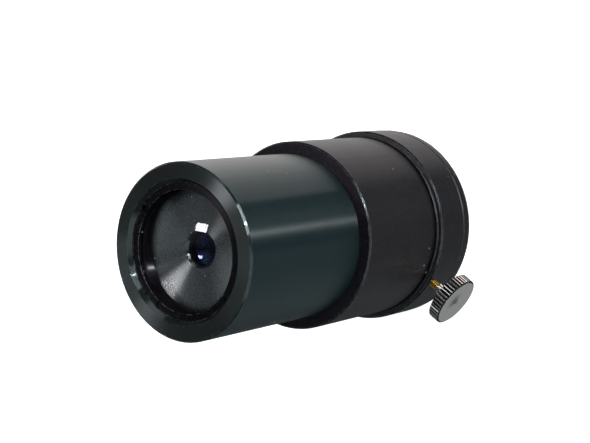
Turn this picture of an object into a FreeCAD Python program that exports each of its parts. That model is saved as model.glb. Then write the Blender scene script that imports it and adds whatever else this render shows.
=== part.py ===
import FreeCAD, Part
import os
import re
import Sketcher

# Darkfield condenser, millimetres. It stands on its rear face, with the optical axis along +Z.
# The front lens looks up, the clamping screw points along -Y, and the origin is the centre of the rear face.

SIZES = {
    # Outside steps, from the front tube outwards
    "front_tube_radius": 19.75,
    "front_tube_length": 39.8,
    "front_edge_chamfer": 0.4,
    "middle_step": 2.9,
    "middle_chamfer": 0.35,
    "flange_reach": 0.4,
    "flange_thickness": 0.45,
    "flange_chamfer": 0.3,
    "relief_width": 0.4,
    "relief_depth": 0.25,
    "collar_wall": 2.13,
    "collar_length": 10.6,
    "collar_chamfer": 0.35,
    "end_ring_step": 0.04,
    "end_ring_taper": 0.2,
    "end_ring_taper_length": 2.0,
    "end_ring_thickness": 3.3,
    "end_ring_lip": 0.8,
    "end_ring_chamfer": 0.3,
    "collar_rear_chamfer": 0.3,
    "edge_break": 0.2,
    # Socket that takes the lamp tube, inside the spigot that carries the collar
    "spigot_step": 0.65,
    "spigot_wall": 1.5,
    "socket_depth": 16.4,
    # Fits between turned pieces
    "thread_clearance": 0.05,
    "glass_clearance": 0.05,
    # Joint between the front tube and the middle barrel
    "front_spigot_step": 1.55,
    "front_spigot_length": 7.0,
    # Collector in the middle barrel
    "collector_step": 1.3,
    "collector_ledge": 2.4,
    "collector_web": 5.0,
    "collector_edge": 2.5,
    "collector_rim": 2.15,
    "collector_curvature": 50.0,
    "collector_spacer_length": 8.0,
    "collector_spacer_wall": 1.8,
    "rear_ring_thickness": 2.0,
    "rear_ring_width": 2.0,
    # Condenser stack in the front tube
    "front_wall": 4.45,
    "front_ledge": 2.1,
    "front_bore_chamfer": 0.83,
    "ring_recess": 1.04,
    "front_ring_thickness": 1.2,
    "front_ring_width": 1.62,
    "front_ring_break": 0.12,
    "front_lens_edge": 1.2,
    "front_lens_rim": 1.85,
    "front_lens_curvature": 80.0,
    "stack_wall": 1.6,
    "condenser_edge": 2.0,
    "condenser_rim": 2.05,
    "condenser_curvature": 45.0,
    "lower_spacer_length": 8.0,
    "stop_thickness": 1.5,
    "stop_disc_radius": 6.0,
    "stop_arm_width": 1.2,
    "stop_arm_thickness": 0.75,
    "upper_spacer_length": 8.0,
    # Dished cell with the small centre lens
    "cell_wall_step": 0.35,
    "cell_wall_depth": 2.8,
    "dish_depth": 0.76,
    "dish_hole_radius": 4.0,
    "dish_bevel": 0.5,
    "centre_lip": 0.15,
    "centre_lip_width": 0.95,
    "dish_thickness": 2.6,
    "hub_wall": 1.9,
    "hub_length": 3.2,
    "hub_gap": 1.0,
    "centre_lens_edge": 1.6,
    "centre_lens_ease": 0.15,
    "centre_lens_curvature": 10.0,
    "centre_ring_thickness": 1.4,
    "centre_ring_width": 1.1,
    # Spanner slots and holes
    "slot_width": 1.2,
    "slot_depth": 0.8,
    "notch_depth": 0.4,
    "small_slot_width": 0.8,
    "small_slot_depth": 0.5,
    "front_ring_turn": 85.35,
    "notch_angle": 96.3,
    "spanner_hole_radius": 0.5,
    "spanner_hole_depth": 1.5,
    # Clamping screw and its pad
    "screw_inset": 2.0,
    "screw_radius": 1.0,
    "screw_clearance": 0.05,
    "screw_shank_out": 5.0,
    "shoulder_step": 0.25,
    "shoulder_length": 2.9,
    "head_radius": 6.6,
    "head_thickness": 3.2,
    "head_chamfer": 0.25,
    "head_dimple": 0.35,
    "knurl_teeth": 44,
    "knurl_depth": 0.38,
    "pad_inset": 0.15,
    "pad_step": 0.1,
    "pad_length": 1.3,
    "pad_end": 0.45,
    "pad_wall": 0.34,
    "pin_clearance": 0.06,
}

doc = FreeCAD.newDocument("darkfield_condenser")


def make_sheet():
    sheet = doc.addObject("Spreadsheet::Sheet", "Sizes")
    for row, (name, value) in enumerate(SIZES.items(), start=1):
        sheet.set("A%d" % row, name)
        sheet.set("B%d" % row, str(value))
        sheet.setAlias("B%d" % row, name)
    doc.recompute()
    return sheet


def bound(text):
    """Turn the plain size names of a formula into references to the sheet."""
    return re.sub(r"[a-z_]+", lambda word: "Sizes." + word.group(0) if word.group(0) in SIZES else word.group(0), text)


def new_body(label):
    body = doc.addObject("PartDesign::Body", label)
    body.Label = label
    return body


def origin_feature(body, role):
    """Find one of the body's own planes or axes."""
    return next(feature for feature in body.Origin.OriginFeatures if feature.Role == role)


def new_sketch(body, plane, name, height=None):
    """Lay a sketch on one of the body's own planes, raised along its normal by a formula."""
    sketch = body.newObject("Sketcher::SketchObject", name)
    sketch.AttachmentSupport = (origin_feature(body, plane), [""])
    sketch.MapMode = "FlatFace"
    if height:
        sketch.setExpression("AttachmentOffset.Base.z", bound(height))
    doc.recompute()
    return sketch


def pin_point(sketch, edge, end, across, along):
    """Hold one end of an edge at a place given by two formulas."""
    for kind, axis, text in (("DistanceX", -2, across), ("DistanceY", -1, along)):
        if text == "0":
            sketch.addConstraint(Sketcher.Constraint("PointOnObject", edge, end, axis))
            continue
        value = float(sketch.evalExpression(bound(text)))
        index = sketch.addConstraint(Sketcher.Constraint(kind, -1, 1, edge, end, value))
        sketch.setExpression("Constraints[%d]" % index, bound(text))


def vector_at(sketch, across, along):
    return FreeCAD.Vector(float(sketch.evalExpression(bound(across))), float(sketch.evalExpression(bound(along))), 0)


def outline(sketch, points):
    """Close straight edges through points, each a pair of formulas."""
    places = [vector_at(sketch, *point) for point in points]
    edges = []
    for index, place in enumerate(places):
        following = places[(index + 1) % len(places)]
        edges.append(sketch.addGeometry(Part.LineSegment(place, following), False))
    for index, edge in enumerate(edges):
        following = edges[(index + 1) % len(edges)]
        sketch.addConstraint(Sketcher.Constraint("Coincident", edge, 2, following, 1))
    for edge, point in zip(edges, points):
        pin_point(sketch, edge, 1, *point)


def circle(sketch, across, along, radius):
    """Draw a circle whose centre and radius are formulas."""
    value = float(sketch.evalExpression(bound(radius)))
    centre = vector_at(sketch, across, along)
    edge = sketch.addGeometry(Part.Circle(centre, FreeCAD.Vector(0, 0, 1), value), False)
    if across == "0" and along == "0":
        sketch.addConstraint(Sketcher.Constraint("Coincident", edge, 3, -1, 1))
    else:
        pin_point(sketch, edge, 3, across, along)
    index = sketch.addConstraint(Sketcher.Constraint("Radius", edge, value))
    sketch.setExpression("Constraints[%d]" % index, bound(radius))


def revolve(body, sketch):
    turned = body.newObject("PartDesign::Revolution", "Turned")
    turned.Profile = sketch
    turned.ReferenceAxis = (sketch, ["V_Axis"])
    turned.Angle = 360
    sketch.Visibility = False
    doc.recompute()
    return turned


def turned_body(label, points):
    """Turn one closed section, given as radius and height formulas, about the body's Z axis."""
    body = new_body(label)
    section = new_sketch(body, "XZ_Plane", "Section")
    outline(section, points)
    revolve(body, section)
    return body


def pocket(body, sketch, depth, backwards=False):
    """Cut a sketch into the body, and make sure that something was cut."""
    before = body.Shape.Volume
    cut = body.newObject("PartDesign::Pocket", "Cut")
    cut.Profile = sketch
    cut.Type = "Length"
    cut.Reversed = backwards
    cut.setExpression("Length", bound(depth))
    doc.recompute()
    if not body.Shape.Volume < before - 1e-6:
        raise ValueError("a pocket in %s cut nothing" % body.Label)
    return cut


def pad(body, sketch, height):
    grown = body.newObject("PartDesign::Pad", "Pad")
    grown.Profile = sketch
    grown.setExpression("Length", bound(height))
    doc.recompute()
    return grown


def pattern_round(body, feature, count):
    """Repeat a feature evenly about the body's Z axis."""
    pattern = body.newObject("PartDesign::PolarPattern", "Around")
    pattern.Originals = [feature]
    pattern.Axis = (origin_feature(body, "Z_Axis"), [""])
    pattern.Angle = 360
    pattern.setExpression("Occurrences", bound(count))
    body.Tip = pattern
    doc.recompute()
    return pattern


def saw_slot(body, face, radius, width, depth, from_below=False):
    """Saw one spanner slot straight across a ring, from its top or bottom face."""
    sketch = new_sketch(body, "XY_Plane", "SlotLine", face)
    left, right = "-(%s) - %s" % (radius, width), "%s + %s" % (radius, width)
    low, high = "-%s / 2" % width, "%s / 2" % width
    outline(sketch, [(left, low), (right, low), (right, high), (left, high)])
    return pocket(body, sketch, depth, backwards=from_below)


def lens_body(label, rim_radius, dome_radius, curvature, flat, rim, dome_up):
    """Turn a plano-convex lens with a flat ground rim around its dome."""
    body = new_body(label)
    sketch = new_sketch(body, "XZ_Plane", "Section")
    dome_way = 1 if dome_up else -1
    rim_edge = vector_at(sketch, dome_radius, rim)
    bend = float(sketch.evalExpression(bound(curvature)))
    sag = bend - (bend ** 2 - rim_edge.x ** 2) ** 0.5
    apex = FreeCAD.Vector(0, rim_edge.y + dome_way * sag, 0)
    middle_across = rim_edge.x / 2
    middle_sag = sag - (bend - (bend ** 2 - middle_across ** 2) ** 0.5)
    middle = FreeCAD.Vector(middle_across, rim_edge.y + dome_way * middle_sag, 0)
    corners = [vector_at(sketch, "0", flat), vector_at(sketch, rim_radius, flat), vector_at(sketch, rim_radius, rim), rim_edge]
    lines = [sketch.addGeometry(Part.LineSegment(*pair), False) for pair in zip(corners, corners[1:])]
    dome = sketch.addGeometry(Part.Arc(rim_edge, middle, apex), False)
    axis = sketch.addGeometry(Part.LineSegment(apex, corners[0]), False)
    # An arc of a sketch always runs anticlockwise, so its ends swap when the dome points down.
    rim_end, apex_end = (1, 2) if dome_up else (2, 1)
    for first, second in zip(lines, lines[1:]):
        sketch.addConstraint(Sketcher.Constraint("Coincident", first, 2, second, 1))
    sketch.addConstraint(Sketcher.Constraint("Coincident", lines[-1], 2, dome, rim_end))
    sketch.addConstraint(Sketcher.Constraint("Coincident", dome, apex_end, axis, 1))
    sketch.addConstraint(Sketcher.Constraint("Coincident", axis, 2, lines[0], 1))
    sketch.addConstraint(Sketcher.Constraint("PointOnObject", dome, 3, -2))
    sketch.addConstraint(Sketcher.Constraint("PointOnObject", dome, apex_end, -2))
    radius_index = sketch.addConstraint(Sketcher.Constraint("Radius", dome, bend))
    sketch.setExpression("Constraints[%d]" % radius_index, bound(curvature))
    pin_point(sketch, lines[0], 1, "0", flat)
    pin_point(sketch, lines[1], 1, rim_radius, flat)
    pin_point(sketch, lines[2], 1, rim_radius, rim)
    pin_point(sketch, lines[2], 2, dome_radius, rim)
    revolve(body, sketch)
    return body


def ring_body(label, inner, outer, low, high, edge_break="0.1"):
    """Turn a plain ring or spacer tube with lightly broken bore edges."""
    return turned_body(label, [
        (inner, "%s + %s" % (low, edge_break)),
        ("%s + %s" % (inner, edge_break), low),
        (outer, low),
        (outer, high),
        ("%s + %s" % (inner, edge_break), high),
        (inner, "%s - %s" % (high, edge_break)),
    ])


def screw_hole(body):
    """Drill the screw's radial hole through the -Y wall only."""
    sketch = new_sketch(body, "XZ_Plane", "HoleLine")
    circle(sketch, "0", SCREW_HEIGHT, "screw_radius + screw_clearance")
    pocket(body, sketch, COLLAR_RADIUS + " + screw_radius", backwards=True)


def turn_about_axis(item, frame, angle):
    """Turn a sketch's offset or a body's placement about Z by a named angle."""
    turn = FreeCAD.Rotation(FreeCAD.Vector(0, 0, 1), SIZES[angle])
    setattr(item, frame, FreeCAD.Placement(FreeCAD.Vector(), turn))
    item.setExpression(frame + ".Rotation.Angle", bound(angle))


def aim_along_screw(body):
    """Turn a body made about Z so that its Z axis points along -Y at the screw's height."""
    body.Placement = FreeCAD.Placement(FreeCAD.Vector(), FreeCAD.Rotation(FreeCAD.Vector(1, 0, 0), 90))
    body.setExpression("Placement.Base.z", bound(SCREW_HEIGHT))


# Radii that several pieces share, from the front tube outwards and then inwards
TUBE_RADIUS = "front_tube_radius"
MIDDLE_RADIUS = TUBE_RADIUS + " + middle_step"
FLANGE_RADIUS = MIDDLE_RADIUS + " + flange_reach"
SPIGOT_RADIUS = MIDDLE_RADIUS + " - spigot_step"
SPIGOT_HOLE = SPIGOT_RADIUS + " + thread_clearance"
COLLAR_RADIUS = SPIGOT_HOLE + " + collar_wall"
END_RING_RADIUS = COLLAR_RADIUS + " - end_ring_step"
END_REAR_RADIUS = END_RING_RADIUS + " - end_ring_taper"
SOCKET_RADIUS = SPIGOT_RADIUS + " - spigot_wall"
COLLECTOR_BORE = SOCKET_RADIUS + " - collector_step"
COLLECTOR_APERTURE = COLLECTOR_BORE + " - collector_ledge"
COLLECTOR_RADIUS = COLLECTOR_BORE + " - glass_clearance"
COLLECTOR_DOME = COLLECTOR_RADIUS + " - collector_rim"
FRONT_SPIGOT_RADIUS = TUBE_RADIUS + " - front_spigot_step"
FRONT_BORE = TUBE_RADIUS + " - front_wall"
FRONT_APERTURE = FRONT_BORE + " - front_ledge"
STACK_RADIUS = FRONT_BORE + " - glass_clearance"
STACK_INNER = STACK_RADIUS + " - stack_wall"
CONDENSER_DOME = STACK_RADIUS + " - condenser_rim"
FRONT_RING_INNER = STACK_RADIUS + " - front_ring_width"
FRONT_LENS_DOME = STACK_RADIUS + " - front_lens_rim"
CELL_INNER = FRONT_RING_INNER + " - cell_wall_step"
LIP_RADIUS = "dish_hole_radius - dish_bevel"
CENTRE_LENS_RADIUS = LIP_RADIUS + " + centre_lip_width"
CENTRE_LENS_DOME = LIP_RADIUS + " - centre_lens_ease"
CENTRE_BORE = CENTRE_LENS_RADIUS + " + glass_clearance"

# Heights that several pieces share, from the rear face up
COLLAR_FRONT = "end_ring_thickness + collar_length"
FLANGE_FRONT = COLLAR_FRONT + " + flange_thickness"
RELIEF_FRONT = FLANGE_FRONT + " + relief_width"
SCREW_HEIGHT = COLLAR_FRONT + " - screw_inset"
REAR_RING_BACK = "socket_depth"
COLLECTOR_REAR_FLAT = REAR_RING_BACK + " + rear_ring_thickness"
COLLECTOR_REAR_RIM = COLLECTOR_REAR_FLAT + " + collector_edge"
COLLECTOR_FRONT_RIM = COLLECTOR_REAR_RIM + " + collector_spacer_length"
COLLECTOR_TOP = COLLECTOR_FRONT_RIM + " + collector_edge"
MIDDLE_SEAT = COLLECTOR_TOP + " + collector_web"
MIDDLE_FRONT = MIDDLE_SEAT + " + front_spigot_length"
FRONT_FACE = MIDDLE_FRONT + " + front_tube_length"

# Heights of the stack in the front tube, from its face down
RING_TOP = FRONT_FACE + " - ring_recess"
FRONT_LENS_RIM = RING_TOP + " - front_ring_thickness"
CELL_TOP = FRONT_LENS_RIM + " - front_lens_edge"
DISH_EDGE = CELL_TOP + " - cell_wall_depth"
DISH_RIM = DISH_EDGE + " - dish_depth"
LIP_TOP = DISH_RIM + " - dish_bevel"
CENTRE_LENS_RIM = LIP_TOP + " - centre_lip"
CENTRE_LENS_FLAT = CENTRE_LENS_RIM + " - centre_lens_edge"
CENTRE_RING_BACK = CENTRE_LENS_FLAT + " - centre_ring_thickness"
DISH_BACK = DISH_RIM + " - dish_thickness"
HUB_BACK = DISH_BACK + " - hub_length"
UPPER_LENS_FLAT = HUB_BACK + " - hub_gap"
UPPER_LENS_RIM = UPPER_LENS_FLAT + " - condenser_edge"
STOP_TOP = UPPER_LENS_RIM + " - upper_spacer_length"
STOP_BACK = STOP_TOP + " - stop_thickness"
LOWER_LENS_RIM = STOP_BACK + " - lower_spacer_length"
LOWER_LENS_FLAT = LOWER_LENS_RIM + " - condenser_edge"

# Distances from the optical axis along the screw, and the radii of its tip
PAD_TIP = SOCKET_RADIUS + " + pad_inset"
PAD_BACK = PAD_TIP + " + pad_length"
PAD_FLOOR = PAD_TIP + " + pad_end"
PIN_TIP = PAD_FLOOR + " + pin_clearance"
SCREW_TIP = PAD_BACK + " + pin_clearance"
HEAD_BACK = COLLAR_RADIUS + " + screw_shank_out"
HEAD_FACE = HEAD_BACK + " + head_thickness"
SHOULDER_TIP = HEAD_BACK + " - shoulder_length"
PAD_RADIUS = "screw_radius - pad_step"
PAD_BORE = PAD_RADIUS + " - pad_wall"
PIN_RADIUS = PAD_BORE + " - pin_clearance"
SHOULDER_RADIUS = "screw_radius + shoulder_step"


def make_rear_end_ring():
    """The ring that screws on the spigot and holds the collar against the flange."""
    body = turned_body("rear_end_ring", [
        (SOCKET_RADIUS, "0"),
        (END_REAR_RADIUS + " - end_ring_chamfer", "0"),
        (END_REAR_RADIUS, "end_ring_chamfer"),
        (END_RING_RADIUS, "end_ring_taper_length"),
        (END_RING_RADIUS, "end_ring_thickness - end_ring_chamfer"),
        (END_RING_RADIUS + " - end_ring_chamfer", "end_ring_thickness"),
        (SPIGOT_HOLE, "end_ring_thickness"),
        (SPIGOT_HOLE, "end_ring_lip"),
        (SOCKET_RADIUS, "end_ring_lip"),
    ])
    sketch = new_sketch(body, "XY_Plane", "SpannerHoles")
    for side in ("", "-"):
        circle(sketch, "%s(%s + %s) / 2" % (side, SPIGOT_HOLE, END_RING_RADIUS), "0", "spanner_hole_radius")
    pocket(body, sketch, "spanner_hole_depth", backwards=True)
    return body


def make_rear_collar():
    body = turned_body("rear_collar", [
        (SPIGOT_HOLE, "end_ring_thickness"),
        (COLLAR_RADIUS + " - collar_rear_chamfer", "end_ring_thickness"),
        (COLLAR_RADIUS, "end_ring_thickness + collar_rear_chamfer"),
        (COLLAR_RADIUS, COLLAR_FRONT + " - collar_chamfer"),
        (COLLAR_RADIUS + " - collar_chamfer", COLLAR_FRONT),
        (SPIGOT_HOLE, COLLAR_FRONT),
    ])
    screw_hole(body)
    return body


def make_middle_barrel():
    """The socket's spigot at the rear, the collector's bore inside and the front tube's thread at the top."""
    body = turned_body("middle_barrel", [
        (SOCKET_RADIUS, "end_ring_lip"),
        (SPIGOT_RADIUS, "end_ring_lip"),
        (SPIGOT_RADIUS, COLLAR_FRONT),
        (FLANGE_RADIUS, COLLAR_FRONT),
        (FLANGE_RADIUS, FLANGE_FRONT + " - flange_chamfer"),
        (FLANGE_RADIUS + " - flange_chamfer", FLANGE_FRONT),
        (MIDDLE_RADIUS + " - relief_depth", FLANGE_FRONT),
        (MIDDLE_RADIUS + " - relief_depth", RELIEF_FRONT),
        (MIDDLE_RADIUS, RELIEF_FRONT),
        (MIDDLE_RADIUS, MIDDLE_FRONT + " - middle_chamfer"),
        (MIDDLE_RADIUS + " - middle_chamfer", MIDDLE_FRONT),
        (FRONT_SPIGOT_RADIUS + " + thread_clearance", MIDDLE_FRONT),
        (FRONT_SPIGOT_RADIUS + " + thread_clearance", MIDDLE_SEAT),
        (COLLECTOR_APERTURE, MIDDLE_SEAT),
        (COLLECTOR_APERTURE, COLLECTOR_TOP),
        (COLLECTOR_BORE, COLLECTOR_TOP),
        (COLLECTOR_BORE, "socket_depth"),
        (SOCKET_RADIUS, "socket_depth"),
    ])
    screw_hole(body)
    return body


def make_front_barrel():
    return turned_body("front_barrel", [
        (FRONT_APERTURE, MIDDLE_SEAT),
        (FRONT_SPIGOT_RADIUS, MIDDLE_SEAT),
        (FRONT_SPIGOT_RADIUS, MIDDLE_FRONT),
        (TUBE_RADIUS + " - edge_break", MIDDLE_FRONT),
        (TUBE_RADIUS, MIDDLE_FRONT + " + edge_break"),
        (TUBE_RADIUS, FRONT_FACE + " - front_edge_chamfer"),
        (TUBE_RADIUS + " - front_edge_chamfer", FRONT_FACE),
        (FRONT_BORE + " + front_bore_chamfer", FRONT_FACE),
        (FRONT_BORE, FRONT_FACE + " - front_bore_chamfer"),
        (FRONT_BORE, LOWER_LENS_FLAT),
        (FRONT_APERTURE, LOWER_LENS_FLAT),
    ])


def make_front_retaining_ring():
    """The spanner ring, with one saw cut right across it and a shallow notch in one side."""
    body = ring_body("front_retaining_ring", FRONT_RING_INNER, STACK_RADIUS, FRONT_LENS_RIM, RING_TOP, "front_ring_break")
    saw_slot(body, RING_TOP, FRONT_BORE, "slot_width", "slot_depth")
    notch = new_sketch(body, "XY_Plane", "NotchLine", RING_TOP)
    low, high = "-slot_width / 2", "slot_width / 2"
    near, far = FRONT_RING_INNER + " - slot_width", FRONT_BORE + " + slot_width"
    outline(notch, [(near, low), (far, low), (far, high), (near, high)])
    turn_about_axis(notch, "AttachmentOffset", "notch_angle")
    notch.setExpression("AttachmentOffset.Base.z", bound(RING_TOP))
    pocket(body, notch, "notch_depth")
    turn_about_axis(body, "Placement", "front_ring_turn")
    return body


def make_front_lens():
    return lens_body("front_lens", STACK_RADIUS, FRONT_LENS_DOME, "front_lens_curvature",
                     CELL_TOP, FRONT_LENS_RIM, dome_up=True)


def make_lens_cell():
    """The cup that carries the small centre lens in its dished floor."""
    return turned_body("lens_cell", [
        (CELL_INNER, CELL_TOP),
        (CELL_INNER, DISH_EDGE),
        ("dish_hole_radius", DISH_RIM),
        (LIP_RADIUS, LIP_TOP),
        (LIP_RADIUS, CENTRE_LENS_RIM),
        (CENTRE_BORE, CENTRE_LENS_RIM),
        (CENTRE_BORE, HUB_BACK),
        (CENTRE_BORE + " + hub_wall", HUB_BACK),
        (CENTRE_BORE + " + hub_wall", DISH_BACK),
        (STACK_INNER, DISH_BACK),
        (STACK_INNER, UPPER_LENS_FLAT),
        (STACK_RADIUS, UPPER_LENS_FLAT),
        (STACK_RADIUS, CELL_TOP),
    ])


def make_centre_lens():
    return lens_body("centre_lens", CENTRE_LENS_RADIUS, CENTRE_LENS_DOME, "centre_lens_curvature",
                     CENTRE_LENS_FLAT, CENTRE_LENS_RIM, dome_up=True)


def make_centre_lens_ring():
    body = ring_body("centre_lens_ring", CENTRE_LENS_RADIUS + " - centre_ring_width", CENTRE_LENS_RADIUS,
                     CENTRE_RING_BACK, CENTRE_LENS_FLAT)
    saw_slot(body, CENTRE_RING_BACK, CENTRE_LENS_RADIUS, "small_slot_width", "small_slot_depth", from_below=True)
    return body


def make_upper_condenser_lens():
    return lens_body("upper_condenser_lens", STACK_RADIUS, CONDENSER_DOME, "condenser_curvature",
                     UPPER_LENS_FLAT, UPPER_LENS_RIM, dome_up=False)


def make_upper_spacer():
    return ring_body("upper_spacer", STACK_INNER, STACK_RADIUS, STOP_TOP, UPPER_LENS_RIM)


def make_darkfield_stop():
    """An opaque disc held on the axis by three thin arms in a ring."""
    body = ring_body("darkfield_stop", STACK_INNER, STACK_RADIUS, STOP_BACK, STOP_TOP)
    arm = new_sketch(body, "XY_Plane", "Arm", STOP_BACK)
    low, high = "-stop_arm_width / 2", "stop_arm_width / 2"
    far = STACK_RADIUS + " - stack_wall / 2"
    outline(arm, [("0", low), (far, low), (far, high), ("0", high)])
    first_arm = pad(body, arm, "stop_arm_thickness")
    pattern_round(body, first_arm, "3")
    disc = new_sketch(body, "XY_Plane", "Disc", STOP_BACK)
    circle(disc, "0", "0", "stop_disc_radius")
    pad(body, disc, "stop_thickness")
    return body


def make_lower_spacer():
    return ring_body("lower_spacer", STACK_INNER, STACK_RADIUS, LOWER_LENS_RIM, STOP_BACK)


def make_lower_condenser_lens():
    return lens_body("lower_condenser_lens", STACK_RADIUS, CONDENSER_DOME, "condenser_curvature",
                     LOWER_LENS_FLAT, LOWER_LENS_RIM, dome_up=True)


def make_collector_front_lens():
    return lens_body("collector_front_lens", COLLECTOR_RADIUS, COLLECTOR_DOME, "collector_curvature",
                     COLLECTOR_TOP, COLLECTOR_FRONT_RIM, dome_up=False)


def make_collector_spacer():
    return ring_body("collector_spacer", COLLECTOR_RADIUS + " - collector_spacer_wall", COLLECTOR_RADIUS,
                     COLLECTOR_REAR_RIM, COLLECTOR_FRONT_RIM)


def make_collector_rear_lens():
    return lens_body("collector_rear_lens", COLLECTOR_RADIUS, COLLECTOR_DOME, "collector_curvature",
                     COLLECTOR_REAR_FLAT, COLLECTOR_REAR_RIM, dome_up=True)


def make_rear_retaining_ring():
    body = ring_body("rear_retaining_ring", COLLECTOR_RADIUS + " - rear_ring_width", COLLECTOR_RADIUS,
                     REAR_RING_BACK, COLLECTOR_REAR_FLAT, "edge_break")
    saw_slot(body, REAR_RING_BACK, COLLECTOR_BORE, "slot_width", "slot_depth", from_below=True)
    return body


def make_thumb_screw():
    """Shank, shoulder and knurled head turned in one piece, with a pin for the pad at its tip."""
    body = turned_body("thumb_screw", [
        ("0", PIN_TIP),
        (PIN_RADIUS, PIN_TIP),
        (PIN_RADIUS, SCREW_TIP),
        ("screw_radius", SCREW_TIP),
        ("screw_radius", SHOULDER_TIP),
        (SHOULDER_RADIUS, SHOULDER_TIP),
        (SHOULDER_RADIUS, HEAD_BACK),
        ("head_radius - head_chamfer", HEAD_BACK),
        ("head_radius", HEAD_BACK + " + head_chamfer"),
        ("head_radius", HEAD_FACE + " - head_chamfer"),
        ("head_radius - head_chamfer", HEAD_FACE),
        ("head_dimple", HEAD_FACE),
        ("0", HEAD_FACE + " - head_dimple"),
    ])
    # Each groove is a right-angled V whose point lies the knurl's depth inside the rim.
    groove = new_sketch(body, "XY_Plane", "KnurlGroove", HEAD_FACE)
    beyond = "head_radius + knurl_depth"
    outline(groove, [("head_radius - knurl_depth", "0"), (beyond, "-2 * knurl_depth"), (beyond, "2 * knurl_depth")])
    first_groove = pocket(body, groove, "head_thickness")
    pattern_round(body, first_groove, "knurl_teeth")
    aim_along_screw(body)
    return body


def make_clamp_pad():
    """The pad that stays still against the clamped tube while the screw turns in it."""
    body = turned_body("clamp_pad", [
        ("0", PAD_TIP),
        (PAD_RADIUS, PAD_TIP),
        (PAD_RADIUS, PAD_BACK),
        (PAD_BORE, PAD_BACK),
        (PAD_BORE, PAD_FLOOR),
        ("0", PAD_FLOOR),
    ])
    aim_along_screw(body)
    return body


def check_objects(pieces):
    doc.recompute()
    for item in doc.Objects:
        if "Invalid" in item.State or "Error" in item.State:
            raise ValueError("%s failed: %s" % (item.Label, item.State))
    for piece in pieces:
        if piece.Shape.isNull() or not piece.Shape.isValid():
            raise ValueError("%s has no valid shape" % piece.Label)


def write_parts(pieces):
    os.makedirs("parts", exist_ok=True)
    for piece in pieces:
        piece.Shape.exportStep("parts/%s.step" % piece.Label)
        print("%-22s %d solid, %.1f mm3" % (piece.Label, len(piece.Shape.Solids), piece.Shape.Volume))


make_sheet()
PIECES = [
    make_rear_end_ring(),
    make_rear_collar(),
    make_middle_barrel(),
    make_rear_retaining_ring(),
    make_collector_rear_lens(),
    make_collector_spacer(),
    make_collector_front_lens(),
    make_front_barrel(),
    make_lower_condenser_lens(),
    make_lower_spacer(),
    make_darkfield_stop(),
    make_upper_spacer(),
    make_upper_condenser_lens(),
    make_centre_lens(),
    make_centre_lens_ring(),
    make_lens_cell(),
    make_front_lens(),
    make_front_retaining_ring(),
    make_clamp_pad(),
    make_thumb_screw(),
]
check_objects(PIECES)
write_parts(PIECES)
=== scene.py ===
import math
import bmesh
import bpy
from mathutils import Matrix, Vector


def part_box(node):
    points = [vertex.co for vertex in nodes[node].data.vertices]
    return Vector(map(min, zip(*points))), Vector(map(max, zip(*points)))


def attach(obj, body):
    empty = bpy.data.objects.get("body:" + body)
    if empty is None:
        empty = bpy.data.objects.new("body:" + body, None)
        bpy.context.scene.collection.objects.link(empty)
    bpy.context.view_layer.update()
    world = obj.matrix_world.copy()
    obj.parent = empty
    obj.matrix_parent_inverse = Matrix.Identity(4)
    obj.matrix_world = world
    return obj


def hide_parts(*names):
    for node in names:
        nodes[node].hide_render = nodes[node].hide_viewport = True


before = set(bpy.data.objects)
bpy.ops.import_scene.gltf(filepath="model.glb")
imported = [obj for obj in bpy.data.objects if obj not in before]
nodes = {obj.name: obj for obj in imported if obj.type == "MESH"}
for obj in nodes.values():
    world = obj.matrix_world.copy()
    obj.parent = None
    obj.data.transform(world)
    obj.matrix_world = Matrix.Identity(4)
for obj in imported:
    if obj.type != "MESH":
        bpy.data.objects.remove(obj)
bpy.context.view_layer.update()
mm = 0.001


def addNode(tree, kind, **settings):
    node = tree.nodes.new("ShaderNode" + kind)
    for name, value in settings.items():
        setattr(node, name, value)
    return node


def feed(tree, socket, value):
    # a socket is linked, anything else is set as the socket's own value
    if isinstance(value, bpy.types.NodeSocket):
        tree.links.new(value, socket)
    else:
        socket.default_value = value


def maths(tree, operation, first, second=0.0, third=0.0):
    node = addNode(tree, "Math", operation=operation)
    for socket, value in zip(node.inputs, (first, second, third)):
        feed(tree, socket, value)
    return node.outputs[0]


def vectorMaths(tree, operation, first, second=(0, 0, 0), output="Vector"):
    node = addNode(tree, "VectorMath", operation=operation)
    feed(tree, node.inputs[0], first)
    feed(tree, node.inputs[1], second)
    return node.outputs[output]


def remap(tree, value, low, high, newLow=0.0, newHigh=1.0, smooth=False):
    node = addNode(tree, "MapRange", interpolation_type="SMOOTHSTEP" if smooth else "LINEAR")
    numbers = {"Value": value, "From Min": low, "From Max": high, "To Min": newLow, "To Max": newHigh}
    for name, number in numbers.items():
        feed(tree, node.inputs[name], number)
    return node.outputs["Result"]


def mixColours(tree, share, first, second):
    node = addNode(tree, "Mix", data_type="RGBA")
    feed(tree, node.inputs[0], share)
    feed(tree, node.inputs[6], first)
    feed(tree, node.inputs[7], second)
    return node.outputs[2]


def newGroup(name, inputs, outputs):
    group = bpy.data.node_groups.new(name, "ShaderNodeTree")
    for label, value in inputs.items():
        kind = "NodeSocketVector" if isinstance(value, tuple) else "NodeSocketFloat"
        group.interface.new_socket(name=label, in_out="INPUT", socket_type=kind).default_value = value
    for label in outputs:
        group.interface.new_socket(name=label, in_out="OUTPUT", socket_type="NodeSocketFloat")
    return group, group.nodes.new("NodeGroupInput").outputs, group.nodes.new("NodeGroupOutput").inputs


def useGroup(tree, group, **inputs):
    node = addNode(tree, "Group", node_tree=group)
    for name, value in inputs.items():
        feed(tree, node.inputs[name], value)
    return node.outputs


def combine(tree, x, y, z=0.0):
    node = addNode(tree, "CombineXYZ")
    for socket, value in zip(node.inputs, (x, y, z)):
        feed(tree, socket, value)
    return node.outputs[0]


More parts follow.
